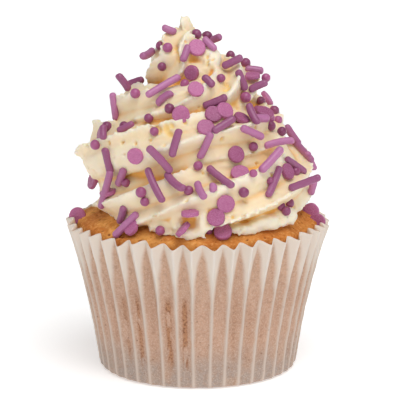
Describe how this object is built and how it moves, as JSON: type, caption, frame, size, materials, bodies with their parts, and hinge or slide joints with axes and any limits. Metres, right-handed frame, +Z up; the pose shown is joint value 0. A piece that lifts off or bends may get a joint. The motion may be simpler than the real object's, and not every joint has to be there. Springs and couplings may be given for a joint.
{
  "type": "cupcake",
  "caption": "Cupcake in a pleated paper case: golden sponge under a tall piped swirl of ridged buttercream that ends in a leaning tip, strewn with sprinkles.",
  "frame": {"origin": "centre of the flat foot of the paper case, on the surface that the cake stands on", "axes": "+Z up along the cake's axis; +Y away from the viewer of the picture, +X to the right; the swirl rises counter-clockwise seen from above"},
  "size_m": [0.0692, 0.069, 0.0919],
  "materials": {
    "paper": "matte greaseproof paper, white on the outward folds and browned where an inward fold touches the cake",
    "sponge": "matte golden baked crust with fine open crumb; stands in for sponge cake",
    "buttercream": "soft satin cream, deeper yellow in the folds; stands in for buttercream",
    "sprinkles": "dull mauve sugar, grainy; stands in for sugar sprinkles"
  },
  "bodies": {
    "root": {"paper_case": "paper", "sponge": "sponge", "icing": "buttercream"}
  },
  "joints": []
}
